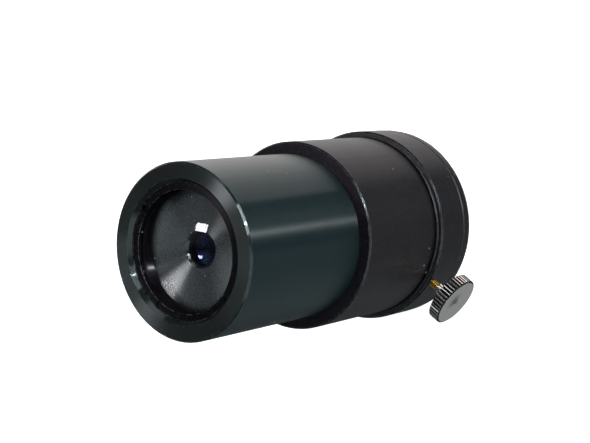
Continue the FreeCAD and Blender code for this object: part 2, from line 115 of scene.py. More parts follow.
def addNoise(tree, place, scale, detail, **settings):
    noise = addNode(tree, "TexNoise", **settings)
    feed(tree, noise.inputs["Vector"], place)
    feed(tree, noise.inputs["Scale"], scale)
    feed(tree, noise.inputs["Detail"], detail)
    return noise


# a place seen from the turning axis: its flat part, its radius and its height
def turnedPlace(tree, place):
    parts = addNode(tree, "SeparateXYZ")
    feed(tree, parts.inputs[0], place)
    flat = combine(tree, parts.outputs[0], parts.outputs[1])
    return flat, vectorMaths(tree, "LENGTH", flat, output="Value"), parts.outputs[2]


# the cell round a place: how far its middle is, and two random shares of its own
def randomCell(tree, place):
    cells = addNode(tree, "TexVoronoi")
    feed(tree, cells.inputs["Vector"], place)
    feed(tree, cells.inputs["Scale"], 1.0)
    pick = addNode(tree, "SeparateColor")
    feed(tree, pick.inputs[0], cells.outputs["Color"])
    return cells.outputs["Distance"], pick.outputs[0], pick.outputs[1]


# rings left by the lathe: they follow radius and height, and wander a little round the turn
def makeLatheMarks():
    inputs = {"Vector": (0.0, 0.0, 0.0), "Pitch": 0.1 * mm, "Wander": 0.4}
    group, given, result = newGroup("latheMarks", inputs, ("Fine", "Broad"))
    flat, radius, height = turnedPlace(group, given["Vector"])
    turned = addNode(group, "SeparateXYZ")
    feed(group, turned.inputs[0], vectorMaths(group, "NORMALIZE", flat))
    for output, slower in (("Fine", 1.0), ("Broad", 7.0)):
        pitch = maths(group, "MULTIPLY", given["Pitch"], slower)
        across = maths(group, "DIVIDE", radius, pitch)
        along = maths(group, "DIVIDE", height, pitch)
        spot = combine(group, across, along, maths(group, "MULTIPLY", turned.outputs[0], given["Wander"]))
        noise = addNoise(group, spot, 1.0, 2.0, noise_dimensions="4D")
        feed(group, noise.inputs["W"], maths(group, "MULTIPLY", turned.outputs[1], given["Wander"]))
        feed(group, result[output], noise.outputs["Fac"])
    return group


# fine grain of a finish, with a mask for its brighter grains
def makeEtchedGrain():
    inputs = {"Vector": (0.0, 0.0, 0.0), "Size": 0.2 * mm, "Share": 0.3}
    group, given, result = newGroup("etchedGrain", inputs, ("Height", "Glint"))
    size = combine(group, given["Size"], given["Size"], given["Size"])
    scaled = vectorMaths(group, "DIVIDE", given["Vector"], size)
    feed(group, result["Height"], addNoise(group, scaled, 1.0, 3.0).outputs["Fac"])
    firstShare = randomCell(group, scaled)[1]
    feed(group, result["Glint"], maths(group, "LESS_THAN", firstShare, given["Share"]))
    return group


# scattered specks of dust: small round spots in a few of the cells
def makeDustSpecks():
    inputs = {"Vector": (0.0, 0.0, 0.0), "Spacing": 2.0 * mm, "Share": 0.2, "Size": 0.08}
    group, given, result = newGroup("dustSpecks", inputs, ("Mask",))
    spacing = combine(group, given["Spacing"], given["Spacing"], given["Spacing"])
    scaled = vectorMaths(group, "DIVIDE", given["Vector"], spacing)
    distance, firstShare, secondShare = randomCell(group, scaled)
    chosen = maths(group, "LESS_THAN", firstShare, given["Share"])
    limit = maths(group, "MULTIPLY", given["Size"], maths(group, "ADD", secondShare, 0.3))
    inside = maths(group, "LESS_THAN", distance, limit)
    feed(group, result["Mask"], maths(group, "MULTIPLY", chosen, inside))
    return group


# wear along one turned edge, given by its radius and height, lightened also as a painted highlight along the
# edge
def makeEdgeWearAndSheen():
    inputs = {"Vector": (0.0, 0.0, 0.0), "Radius": 0.01, "Height": 0.0, "Width": 0.1 * mm}
    group, given, result = newGroup("edgeWearAndSheen", inputs, ("Mask",))
    radius, height = turnedPlace(group, given["Vector"])[1:]
    outwards = maths(group, "SUBTRACT", radius, given["Radius"])
    offset = combine(group, outwards, maths(group, "SUBTRACT", height, given["Height"]))
    distance = vectorMaths(group, "LENGTH", offset, output="Value")
    near = remap(group, maths(group, "DIVIDE", distance, given["Width"]), 0.3, 1.0, 1.0, 0.0)
    patchy = remap(group, addNoise(group, given["Vector"], 900.0, 4.0).outputs["Fac"], 0.42, 0.62)
    feed(group, result["Mask"], maths(group, "MULTIPLY", near, patchy))
    return group


# a turned zone of a piece, between two radii and two heights
def makeTurnedZone():
    inputs = {"Vector": (0.0, 0.0, 0.0), "Inner": 0.0, "Outer": 0.01, "Low": 0.0, "High": 0.01}
    group, given, result = newGroup("turnedZone", inputs, ("Mask",))
    radius, height = turnedPlace(group, given["Vector"])[1:]
    mask = maths(group, "GREATER_THAN", radius, given["Inner"])
    tests = (("LESS_THAN", radius, "Outer"), ("GREATER_THAN", height, "Low"), ("LESS_THAN", height, "High"))
    for operation, value, limit in tests:
        mask = maths(group, "MULTIPLY", mask, maths(group, operation, value, given[limit]))
    feed(group, result["Mask"], mask)
    return group


latheMarks = makeLatheMarks()
etchedGrain = makeEtchedGrain()
dustSpecks = makeDustSpecks()
edgeWearAndSheen = makeEdgeWearAndSheen()
turnedZone = makeTurnedZone()
print("shared effects made")


def dustMask(tree, place, look):
    spread = {"Spacing": look["dustSpacing"], "Share": look["dustShare"], "Size": look["dustSize"]}
    return useGroup(tree, dustSpecks, Vector=place, **spread)["Mask"]


def mixShaders(tree, share, first, second):
    node = addNode(tree, "MixShader")
    for socket, value in zip(node.inputs, (share, first, second)):
        feed(tree, socket, value)
    return node.outputs[0]


# one metal finish: colour, turning marks, grain, dust, and worn edges that also carry a painted edge
# highlight, about an axis through centre
def metalFinish(name, look):
    material = bpy.data.materials.new(name)
    material.use_nodes = True
    tree = material.node_tree
    shader = tree.nodes["Principled BSDF"]
    place = addNode(tree, "TexCoord").outputs["Object"]
    if "centre" in look:
        mapping = addNode(tree, "Mapping", vector_type="TEXTURE")
        feed(tree, mapping.inputs["Vector"], place)
        feed(tree, mapping.inputs["Location"], look["centre"])
        feed(tree, mapping.inputs["Rotation"], look["turn"])
        place = mapping.outputs[0]
    marks = useGroup(tree, latheMarks, Vector=place, Pitch=look["markPitch"], Wander=look["markWander"])
    grain = useGroup(tree, etchedGrain, Vector=place, Size=look["grainSize"], Share=look["glintShare"])
    dust = dustMask(tree, place, look)
    broad = remap(tree, marks["Broad"], 0.35, 0.65)
    colour = mixColours(tree, broad, (*look["colour"], 1), (*look["otherColour"], 1))
    glint = maths(tree, "MULTIPLY", grain["Glint"], look["glintGain"])
    zones = []
    # a zone gives a band its own tone and finish; some zones only darken and dull a band as painted shade
    for zone in look.get("zones", ()):
        limits = {label: zone[label.lower()] * mm for label in ("Inner", "Outer", "Low", "High")}
        mask = useGroup(tree, turnedZone, Vector=place, **limits)["Mask"]
        colour = mixColours(tree, mask, colour, (*zone["colour"], 1))
        zoneGlint = maths(tree, "MULTIPLY", mask, grain["Glint"])
        glint = maths(tree, "MULTIPLY_ADD", zoneGlint, zone["glintGain"], glint)
        zones.append((mask, zone))
    colour = mixColours(tree, glint, colour, (*look["glintColour"], 1))
    # edges are lightened as wear and as a painted highlight along them
    wearAndSheen = None
    for radius, height in look.get("edges", ()):
        edge = {"Radius": radius * mm, "Height": height * mm, "Width": look["edgeWidth"]}
        mask = useGroup(tree, edgeWearAndSheen, Vector=place, **edge)["Mask"]
        wearAndSheen = mask if wearAndSheen is None else maths(tree, "MAXIMUM", wearAndSheen, mask)
    if wearAndSheen is not None:
        wearAndSheenShare = maths(tree, "MULTIPLY", wearAndSheen, look["edgeGain"])
        colour = mixColours(tree, wearAndSheenShare, colour, (*look["edgeColour"], 1))
    colour = mixColours(tree, maths(tree, "MULTIPLY", dust, look["dustGain"]), colour, (0.75, 0.77, 0.8, 1))
    feed(tree, shader.inputs["Base Color"], colour)
    smoothest, roughest = look["roughness"] - look["roughSpread"], look["roughness"] + look["roughSpread"]
    rough = remap(tree, marks["Fine"], 0.3, 0.7, smoothest, roughest)
    for mask, zone in zones:
        rough = maths(tree, "MULTIPLY_ADD", mask, zone["roughness"] - look["roughness"], rough)
    rough = maths(tree, "MAXIMUM", rough, maths(tree, "MULTIPLY", dust, 0.8))
    feed(tree, shader.inputs["Roughness"], rough)
    shader.inputs["Metallic"].default_value = look.get("metallic", 0.0)
    shader.inputs["IOR"].default_value = look.get("ior", 1.5)
    tint = (*look["reflection"], 1)
    for mask, zone in zones:
        if "reflection" in zone:
            tint = mixColours(tree, mask, tint, (*zone["reflection"], 1))
    feed(tree, shader.inputs["Specular Tint"], tint)
    shader.inputs["Anisotropic"].default_value = look["anisotropy"]
    shader.inputs["Anisotropic Rotation"].default_value = look["grooveTurn"]
    if look["anisotropy"]:
        around = vectorMaths(tree, "CROSS_PRODUCT", (0, 0, 1), place)
        feed(tree, shader.inputs["Tangent"], vectorMaths(tree, "NORMALIZE", around))
    normal = None
    for height, depth in ((marks["Fine"], look["markDepth"]), (grain["Height"], look["grainDepth"])):
        bump = addNode(tree, "Bump")
        feed(tree, bump.inputs["Strength"], 1.0)
        feed(tree, bump.inputs["Distance"], depth)
        feed(tree, bump.inputs["Height"], height)
        if normal is not None:
            feed(tree, bump.inputs["Normal"], normal)
        normal = bump.outputs[0]
    feed(tree, shader.inputs["Normal"], normal)
    return material


# clear glass that lets direct light through to what lies behind it
def glassFinish(name, look):
    material = bpy.data.materials.new(name)
    material.use_nodes = True
    tree = material.node_tree
    shader = tree.nodes["Principled BSDF"]
    dust = dustMask(tree, addNode(tree, "TexCoord").outputs["Object"], look)
    feed(tree, shader.inputs["Base Color"], (*look["colour"], 1))
    feed(tree, shader.inputs["Roughness"], maths(tree, "MULTIPLY", dust, 0.5))
    shader.inputs["IOR"].default_value = look["ior"]
    shader.inputs["Transmission Weight"].default_value = 1.0
    shader.inputs["Specular Tint"].default_value = (*look["reflection"], 1)
    refraction = addNode(tree, "BsdfRefraction")
    refraction.inputs["IOR"].default_value = look["ior"]
    refraction.inputs["Roughness"].default_value = 0.0
    leaving = refraction.outputs[0]
    if "backColour" in look:
        back = addNode(tree, "BsdfGlossy")
        back.inputs["Color"].default_value = (*look["backColour"], 1)
        back.inputs["Roughness"].default_value = look["backRoughness"]
        leaving = mixShaders(tree, look["backShare"], leaving, back.outputs[0])
    sides = mixShaders(tree, addNode(tree, "NewGeometry").outputs["Backfacing"], shader.outputs[0], leaving)
    clear = addNode(tree, "BsdfTransparent")
    clear.inputs[0].default_value = (*look["shade"], 1)
    rays = addNode(tree, "LightPath").outputs
    unseen = rays["Is Shadow Ray"]
    if "backColour" not in look:
        # light on its way back out of the pieces behind is counted once
        unseen = maths(tree, "MAXIMUM", unseen, rays["Is Reflection Ray"])
    surface = mixShaders(tree, unseen, sides, clear.outputs[0])
    feed(tree, tree.nodes["Material Output"].inputs["Surface"], surface)
    return material


plainLook = {
    "markPitch": 0.12 * mm, "markWander": 0.5, "markDepth": 0.01 * mm,
    "grainSize": 0.15 * mm, "grainDepth": 0.002 * mm, "glintShare": 0.2, "glintGain": 0.2,
    "glintColour": (0.05, 0.05, 0.055),
    "dustSpacing": 2.2 * mm, "dustShare": 0.12, "dustSize": 0.07, "dustGain": 0.5,
    "edgeWidth": 0.12 * mm, "edgeGain": 0.5, "edgeColour": (0.22, 0.22, 0.23),
    "roughness": 0.4, "roughSpread": 0.04, "anisotropy": 0.0, "grooveTurn": 0.25,
    "reflection": (1.0, 1.0, 1.0),
}

glossBlack = {**plainLook,
    "colour": (0.0040, 0.0092, 0.0108), "otherColour": (0.0034, 0.0082, 0.0096),
    "glintGain": 0.08, "reflection": (0.88, 0.98, 1.0),
    "roughness": 0.26, "roughSpread": 0.012, "anisotropy": 1.0, "ior": 1.55,
    "markPitch": 0.1 * mm, "markWander": 0.3, "markDepth": 0.0006 * mm,
    "zones": (
        {"inner": 15.9, "outer": 20.0, "low": 83.15, "high": 83.3, "colour": (0.0098, 0.0106, 0.0108),
         "glintGain": 0.0, "roughness": 0.20},
        # painted shade: the bore wall in the gap above the retaining ring is coloured near black
        {"inner": 14.0, "outer": 15.33, "low": 60.0, "high": 82.4, "colour": (0.0010, 0.0010, 0.0012),
         "glintGain": 0.0, "roughness": 0.25},
        {"inner": 19.33, "outer": 19.9, "low": 82.77, "high": 83.19, "colour": (0.0050, 0.0100, 0.0110),
         "glintGain": 0.0, "roughness": 0.13},
        {"inner": 15.3, "outer": 16.12, "low": 82.38, "high": 83.19, "colour": (0.0050, 0.0080, 0.0090),
         "glintGain": 0.0, "roughness": 0.13},
    ),
    "edges": ((19.75, 82.8), (19.35, 83.2), (15.3, 82.37), (16.13, 83.2)), "edgeGain": 0.12,
    "edgeWidth": 0.08 * mm,
}
satinBlack = {**plainLook,
    "colour": (0.0046, 0.0042, 0.0048), "otherColour": (0.0038, 0.0035, 0.0040),
    "glintShare": 0.22, "glintGain": 0.2, "glintColour": (0.05, 0.045, 0.055),
    "roughness": 0.42, "anisotropy": 0.4, "ior": 1.5, "reflection": (0.72, 0.68, 0.74),
    "grainSize": 0.18 * mm, "grainDepth": 0.010 * mm, "markDepth": 0.003 * mm,
    # the front annulus: a purple-black tone of its own, made darker and duller as painted shade at the foot
    # of the front tube
    "zones": ({"inner": 19.0, "outer": 22.35, "low": 43.0, "high": 43.6, "colour": (0.0018, 0.0012, 0.0022),
               "glintGain": 0.1, "roughness": 0.42, "reflection": (0.27, 0.24, 0.29)},
              {"inner": 22.32, "outer": 22.7, "low": 43.04, "high": 43.38, "colour": (0.0040, 0.0045, 0.0060),
               "glintGain": 0.0, "roughness": 0.20, "reflection": (0.85, 0.92, 1.0)},
              # painted shade: two nested bands darken and dull the middle barrel just in front of the
              # collar's flange
              {"inner": 22.5, "outer": 22.8, "low": 14.0, "high": 15.9, "colour": (0.0022, 0.0020, 0.0024),
               "glintGain": -0.1, "roughness": 0.42, "reflection": (0.40, 0.38, 0.42)},
              {"inner": 22.5, "outer": 22.8, "low": 14.0, "high": 15.1, "colour": (0.0008, 0.0007, 0.0010),
               "glintGain": -0.1, "roughness": 0.42, "reflection": (0.12, 0.11, 0.14)}),
    "edges": ((22.65, 43.05), (22.3, 43.4), (23.05, 14.05)), "edgeGain": 0.3, "edgeWidth": 0.08 * mm,
}
collarBlack = {**satinBlack,
    "colour": (0.0050, 0.0046, 0.0052), "otherColour": (0.0040, 0.0038, 0.0043),
    "roughness": 0.40,
    "zones": ({"inner": 23.83, "outer": 24.18, "low": 13.57, "high": 13.89,
    "colour": (0.0040, 0.0045, 0.0060),
               "glintGain": 0.0, "roughness": 0.20, "reflection": (0.85, 0.92, 1.0)},),
    "edges": ((24.18, 13.55), (23.83, 13.9), (24.18, 3.6), (24.14, 3.0), (23.94, 0.3)),
}
innerBlack = {**plainLook,
    "colour": (0.0019, 0.0016, 0.0021), "otherColour": (0.0015, 0.0013, 0.0017),
    "glintShare": 0.12, "glintGain": 0.3, "glintColour": (0.03, 0.028, 0.032), "ior": 1.32,
    "reflection": (0.85, 0.8, 0.88),
    # the edges here paint a light line on the retaining ring's inner edge, a painted highlight
    "roughness": 0.2, "anisotropy": 0.6, "edges": ((13.67, 82.1), (15.22, 82.14)), "edgeGain": 0.25,
    "edgeWidth": 0.11 * mm,
}
plateBlack = {**plainLook,
    "colour": (0.0255, 0.0272, 0.0279), "otherColour": (0.0232, 0.0249, 0.0256),
    "glintShare": 0.12, "glintGain": 0.5, "glintColour": (0.10, 0.104, 0.11),
    "roughness": 0.21, "roughSpread": 0.01, "anisotropy": 1.0, "ior": 1.75,
    "grainSize": 0.08 * mm, "grainDepth": 0.0007 * mm, "markPitch": 0.07 * mm, "markWander": 0.8,
    "markDepth": 0.0005 * mm,
    "dustSpacing": 1.3 * mm, "dustShare": 0.3, "dustSize": 0.08,
    "zones": (
        {"inner": 3.0, "outer": 3.98, "low": 70.0, "high": 76.19, "colour": (0.0035, 0.0055, 0.0095),
         "glintGain": -0.5, "roughness": 0.15},
        # painted shade: three nested rings darken the plate towards the cell wall, standing in for the wall's
        # shadow
        {"inner": 11.5, "outer": 13.5, "low": 76.0, "high": 77.1, "colour": (0.0215, 0.0228, 0.0234),
         "glintGain": 0.0, "roughness": 0.21},
        {"inner": 12.1, "outer": 13.5, "low": 76.0, "high": 77.1, "colour": (0.0125, 0.0130, 0.0135),
         "glintGain": -0.2, "roughness": 0.21},
        {"inner": 12.7, "outer": 13.5, "low": 76.0, "high": 77.1, "colour": (0.0040, 0.0040, 0.0045),
         "glintGain": -0.3, "roughness": 0.21},
    ),
}
wallBlack = {**plainLook,
    "colour": (0.0010, 0.0008, 0.0012), "otherColour": (0.0008, 0.0006, 0.0010),
    "glintGain": 0.0, "roughness": 0.22, "roughSpread": 0.01, "anisotropy": 1.0, "ior": 1.12,
    "grainDepth": 0.0005 * mm, "markDepth": 0.0005 * mm, "dustShare": 0.04,
}
screwAxis = {"centre": (0, 0, 11.9 * mm), "turn": (math.radians(90), 0, 0)}
nickel = {**plainLook, **screwAxis,
    "colour": (0.98, 0.90, 0.86), "otherColour": (0.95, 0.87, 0.83),
    "glintGain": 0.0, "metallic": 1.0, "roughness": 0.16,
    "dustShare": 0.05, "markDepth": 0.001 * mm, "grainDepth": 0.0008 * mm,
    "zones": (
        # painted shade: the knurl's valleys and lower flanks are coloured dark
        {"inner": 5.5, "outer": 6.50, "low": 29.25, "high": 32.36, "colour": (0.07, 0.075, 0.08),
         "glintGain": 0.0, "roughness": 0.16},
    ),
}
brass = {**plainLook, **screwAxis,
    "colour": (0.95, 0.70, 0.22), "otherColour": (0.88, 0.60, 0.16),
    "glintGain": 0.0, "metallic": 1.0, "roughness": 0.12,
    "dustShare": 0.05, "markDepth": 0.001 * mm,
}
clearGlass = {
    "colour": (0.97, 0.985, 0.99), "reflection": (0.92, 0.9, 1.0), "shade": (0.92, 0.94, 0.95), "ior": 1.52,
    "dustSpacing": 2.4 * mm, "dustShare": 0.08, "dustSize": 0.05,
}
blueGlass = {**clearGlass,
    "colour": (0.50, 0.55, 0.80), "reflection": (0.05, 0.06, 0.12), "shade": (0.2, 0.22, 0.4), "ior": 1.30,
    "backColour": (0.32, 0.38, 0.72), "backRoughness": 0.0, "backShare": 0.3,
}

finishes = {
    "front_barrel": metalFinish("glossBlackAnodised", glossBlack),
    "middle_barrel": metalFinish("satinBlackAnodised", satinBlack),
    "rear_collar": metalFinish("collarBlackAnodised", collarBlack),
    "lens_cell": metalFinish("turnedPlateBlack", plateBlack),
    "front_lens": glassFinish("clearGlass", clearGlass),
    "centre_lens": glassFinish("blueCoatedGlass", blueGlass),
    "clamp_pad": metalFinish("padBrass", brass),
    "thumb_screw": metalFinish("nickelPlate", nickel),
}
innerFinish = metalFinish("innerBlackAnodised", innerBlack)
wallFinish = metalFinish("cellWallBlack", wallBlack)
finishes["rear_end_ring"] = finishes["rear_collar"]
innerNames = (
    "front_retaining_ring", "rear_retaining_ring", "centre_lens_ring", "darkfield_stop",
    "collector_spacer", "lower_spacer", "upper_spacer",
)
for name in innerNames:
    finishes[name] = innerFinish
for name in ("collector_rear_lens", "collector_front_lens", "lower_condenser_lens", "upper_condenser_lens"):
    finishes[name] = finishes["front_lens"]
for name, node in nodes.items():
    for slot in node.material_slots:
        slot.material = finishes[name]
print("finishes given to", len(finishes), "nodes")

mergeReach = 0.0005 * mm


def keepPiece(name, work, matrix, material, body, sharpAngle=30):
    bmesh.ops.remove_doubles(work, verts=work.verts, dist=mergeReach)
    bmesh.ops.recalc_face_normals(work, faces=work.faces)
    bmesh.ops.transform(work, matrix=matrix, verts=work.verts)
    data = bpy.data.meshes.new(name)
    work.to_mesh(data)
    work.free()
    for face in data.polygons:
        face.use_smooth = True
    data.set_sharp_from_angle(angle=math.radians(sharpAngle))
    data.materials.append(material)
    piece = bpy.data.objects.new(name, data)
    bpy.context.scene.collection.objects.link(piece)
    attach(piece, body)
    return piece


def turnAngle(vert):
    return math.atan2(vert.co.y, vert.co.x) % math.tau


# a turned piece grows from one circle: each layer is a height and a radius that limits the tooth shape
def growTurned(work, segments, layers, toothRadii=(math.inf,)):
    ring = sorted(bmesh.ops.create_circle(work, segments=segments, radius=1.0)["verts"], key=turnAngle)
    ways = [vert.co.normalized() for vert in ring]
    edges = list(work.edges)
    for index, (height, limit) in enumerate(layers):
        if index:
            grown = bmesh.ops.extrude_edge_only(work, edges=edges)["geom"]
            edges = [item for item in grown if isinstance(item, bmesh.types.BMEdge)]
            ring = sorted((item for item in grown if isinstance(item, bmesh.types.BMVert)), key=turnAngle)
        for spot, vert in enumerate(ring):
            radius = min(toothRadii[spot % len(toothRadii)], limit) * mm
            # a layer that closes on the axis keeps its order by staying a hair wide until doubles merge
            vert.co = ways[spot] * max(radius, 1e-7) + Vector((0, 0, height * mm))


# the front lens, turned finer than its solid so that the window's reflection keeps straight edges
lensLook = {
    "radius": 15.25, "domeRadius": 13.4, "curvature": 80.0, "rim": 80.96, "edge": 1.2, "edgeBreak": 0.02,
    "rings": 24, "segments": 128,
}


def makeFrontLens(look):
    drop = math.sqrt(look["curvature"] ** 2 - look["domeRadius"] ** 2)
    flat = look["rim"] - look["edge"]
    layers = [
        (flat, 0.0), (flat, look["radius"] - look["edgeBreak"]),
        (flat + look["edgeBreak"], look["radius"]), (look["rim"], look["radius"]),
    ]
    for step in range(look["rings"] + 1):
        radius = look["domeRadius"] * (1 - step / look["rings"])
        layers.append((look["rim"] + math.sqrt(look["curvature"] ** 2 - radius ** 2) - drop, radius))
    work = bmesh.new()
    growTurned(work, look["segments"], layers)
    lens = keepPiece("frontLensGlass", work, Matrix(), finishes["front_lens"], "barrel", 20)
    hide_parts("front_lens")


makeFrontLens(lensLook)

# the lens cell: the dished plate and the grooved wall round it, with a finish each
cellLook = {
    "segments": 128, "outer": 15.25, "inner": 13.28, "skirt": 13.65,
    "top": 79.76, "dishEdge": 76.96, "back": 73.6, "foot": 69.4,
    "grooves": 10, "grooveDepth": 0.05, "shelf": 0.029, "grooveRise": 0.02, "topBreak": 0.12,
    "hole": 4.02, "dishRim": 76.2, "rimSlope": 0.026, "dishSteps": 10, "overlap": 0.1,
    "hub": (
        (76.17, 3.98), (75.72, 3.53), (75.68, 3.5), (75.55, 3.5), (75.55, 4.5),
        (70.4, 4.5), (70.4, 6.4), (73.6, 6.4), (73.6, 13.38),
    ),
}


def makeLensCell(look):
    # the dish steepens outwards, as a shallow concave turning does
    reach = look["inner"] - look["hole"]
    bend = (look["dishEdge"] - look["dishRim"] - look["rimSlope"] * reach) / reach ** 2
    dish = [(look["dishEdge"], look["inner"] + look["overlap"])]
    for step in range(look["dishSteps"] + 1):
        out = reach * (1 - step / look["dishSteps"])
        dish.append((look["dishRim"] + look["rimSlope"] * out + bend * out ** 2, look["hole"] + out))
    plate = bmesh.new()
    growTurned(plate, look["segments"], [*dish, *look["hub"], dish[0]])
    dished = keepPiece("cellPlate", plate, Matrix(), finishes["lens_cell"], "barrel", 20)
    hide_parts("lens_cell")
    layers = [(look["back"], look["inner"]), (look["dishEdge"], look["inner"])]
    pitch = (look["top"] - look["topBreak"] - look["dishEdge"]) / look["grooves"]
    deep = look["inner"] + look["grooveDepth"]
    for groove in range(look["grooves"]):
        foot = look["dishEdge"] + groove * pitch
        end = foot + pitch
        layers += [(foot + look["shelf"], deep), (end - look["grooveRise"], deep), (end, look["inner"])]
    layers += [
        (look["top"], look["inner"] + look["topBreak"]), (look["top"], look["outer"]),
        (look["foot"], look["outer"]), (look["foot"], look["skirt"]),
        (look["back"], look["skirt"]), (look["back"], look["inner"]),
    ]
    wall = bmesh.new()
    growTurned(wall, look["segments"], layers)
    keepPiece("cellWall", wall, Matrix(), wallFinish, "barrel", 20)


makeLensCell(cellLook)
print("front lens and cell made")

screwLow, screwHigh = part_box("thumb_screw")
screwLook = {
    "headRadius": (screwHigh.x - screwLow.x) / 2 / mm, "face": -screwLow.y / mm, "thickness": 3.2,
    "teeth": 44, "grooveDepth": 0.38, "toothReach": 0.1, "chamfer": 0.25,
    "toothShape": (0.0, 0.10, 0.55, 0.95, 1.0, 0.95, 0.55, 0.10),
    "backEdge": ((0.0, -0.5), (0.04, -0.12)),
    "faceEdge": ((-0.05, -0.02), (-0.01, -0.12), (-0.01, -0.3), (0.0, -0.5)),
    "dimple": 0.3, "dimpleDepth": 0.3, "dimpleEdge": ((0.0, 0.08), (-0.04, 0.0)),
    "shoulderRadius": 1.25, "shoulderLength": 2.9, "shoulderBreak": 0.12,
    "neck": ((-0.25, 0.0), (-0.07, 0.07), (0.0, 0.25)),
    "shankSegments": 48, "shankOverlap": 0.05, "coreRadius": 0.82, "coreBreak": 0.15,
    "pinRadius": 0.5, "pinTip": 21.16, "pinBreak": 0.06,
    "threadRadius": 1.0, "threadPitch": 0.4, "threadTip": 22.01, "threadStart": 0.35, "threadEnd": 0.1,
    "threadSink": 0.05, "rootHalf": 0.47, "crestHalf": 0.08, "threadSteps": 36,
}
screwHeight = Matrix.Translation((0, 0, (screwLow.z + screwHigh.z) / 2))
screwPlace = screwHeight @ Matrix.Rotation(math.radians(90), 4, "X")


# the head's edges, neck and dimple are steps along the axis and out from the radius they belong to
def makeThumbScrew(look):
    face, rim, shoulder = look["face"], look["headRadius"], look["shoulderRadius"]
    back = face - look["thickness"]
    tip = back - look["shoulderLength"]
    inner = rim - look["grooveDepth"]
    beyond = rim + look["toothReach"]
    toothRadii = [inner + look["grooveDepth"] * share for share in look["toothShape"]]
    layers = [(tip, 0.0), (tip, shoulder - look["shoulderBreak"]), (tip + look["shoulderBreak"], shoulder)]
    layers += [(back + along, shoulder + out) for along, out in look["neck"]]
    layers += [(back + along, inner + out) for along, out in look["backEdge"]]
    layers += [(back + look["chamfer"], beyond), (face - look["chamfer"], beyond)]
    layers += [(face + along, inner + out) for along, out in look["faceEdge"]]
    layers += [(face + along, look["dimple"] + out) for along, out in look["dimpleEdge"]]
    layers.append((face - look["dimpleDepth"], 0.0))
    work = bmesh.new()
    growTurned(work, look["teeth"] * len(toothRadii), layers, toothRadii)
    head = keepPiece("thumbScrewHead", work, screwPlace, finishes["thumb_screw"], "screw")
    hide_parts("thumb_screw")
    core, pin, pinTip, threadTip = look["coreRadius"], look["pinRadius"], look["pinTip"], look["threadTip"]
    shank = bmesh.new()
    growTurned(shank, look["shankSegments"], (
        (pinTip, 0.0), (pinTip, pin - look["pinBreak"]), (pinTip + look["pinBreak"], pin),
        (threadTip, pin), (threadTip, core - look["coreBreak"]), (threadTip + look["coreBreak"], core),
        (tip + look["shankOverlap"], core), (tip + look["shankOverlap"], 0.0),
    ))
    keepPiece("screwShank", shank, screwPlace, finishes["clamp_pad"], "screw")
    pitch, start = look["threadPitch"], threadTip + look["threadStart"]
    turns = (tip - start - look["threadEnd"]) / pitch
    root, crest = core - look["threadSink"], look["threadRadius"]
    rootHalf, crestHalf = look["rootHalf"], look["crestHalf"]
    corners = ((root, -rootHalf), (crest, -crestHalf), (crest, crestHalf), (root, rootHalf))
    ridge = bmesh.new()
    section = [ridge.verts.new((radius * mm, 0, (start + share * pitch) * mm)) for radius, share in corners]
    ridge.faces.new(section)
    steps = int(turns * look["threadSteps"])
    bmesh.ops.spin(
        ridge, geom=[*ridge.verts, *ridge.edges, *ridge.faces], cent=(0, 0, 0), axis=(0, 0, 1),
        dvec=(0, 0, turns * pitch * mm / steps), angle=math.tau * turns, steps=steps, use_duplicate=False,
    )
    keepPiece("screwThread", ridge, screwPlace, finishes["clamp_pad"], "screw")


makeThumbScrew(screwLook)
print("thumb screw made")

# the pale floor
floorLook = {"reach": 4.0, "colour": (0.7, 0.7, 0.7, 1), "roughness": 0.9, "glow": 0.85}
floorMesh = bmesh.new()
bmesh.ops.create_grid(floorMesh, x_segments=1, y_segments=1, size=floorLook["reach"])
floorData = bpy.data.meshes.new("floor")
floorMesh.to_mesh(floorData)
floorMesh.free()
floor = bpy.data.objects.new("floor", floorData)
bpy.context.scene.collection.objects.link(floor)
floorMaterial = bpy.data.materials.new("paleFloor")
floorMaterial.use_nodes = True
floorShader = floorMaterial.node_tree.nodes["Principled BSDF"]
floorShader.inputs["Base Color"].default_value = floorLook["colour"]
floorShader.inputs["Roughness"].default_value = floorLook["roughness"]
floorShader.inputs["Emission Color"].default_value = (1, 1, 1, 1)
floorShader.inputs["Emission Strength"].default_value = floorLook["glow"]
floorData.materials.append(floorMaterial)
floor.visible_glossy = False

# the camera stands where the photograph was taken from
cameraLook = {
    "place": Vector((0.13408838, -0.13921034, 0.29245968)),
    "right": Vector((0.43522854, -0.66717719, -0.6045252)),
    "up": Vector((0.79858518, 0.59613492, -0.08297513)),
    "back": Vector((0.41573769, -0.44665172, 0.79225275)),
    "sensor": 36, "lens": 80.126, "nearest": 0.01,
}
cameraData = bpy.data.cameras.new("camera")
cameraData.sensor_width = cameraLook["sensor"]
cameraData.lens = cameraLook["lens"]
cameraData.clip_start = cameraLook["nearest"]
camera = bpy.data.objects.new("camera", cameraData)
axes = Matrix((cameraLook["right"], cameraLook["up"], cameraLook["back"])).transposed()
camera.matrix_world = Matrix.Translation(cameraLook["place"]) @ axes.to_4x4()
bpy.context.scene.collection.objects.link(camera)
bpy.context.scene.camera = camera

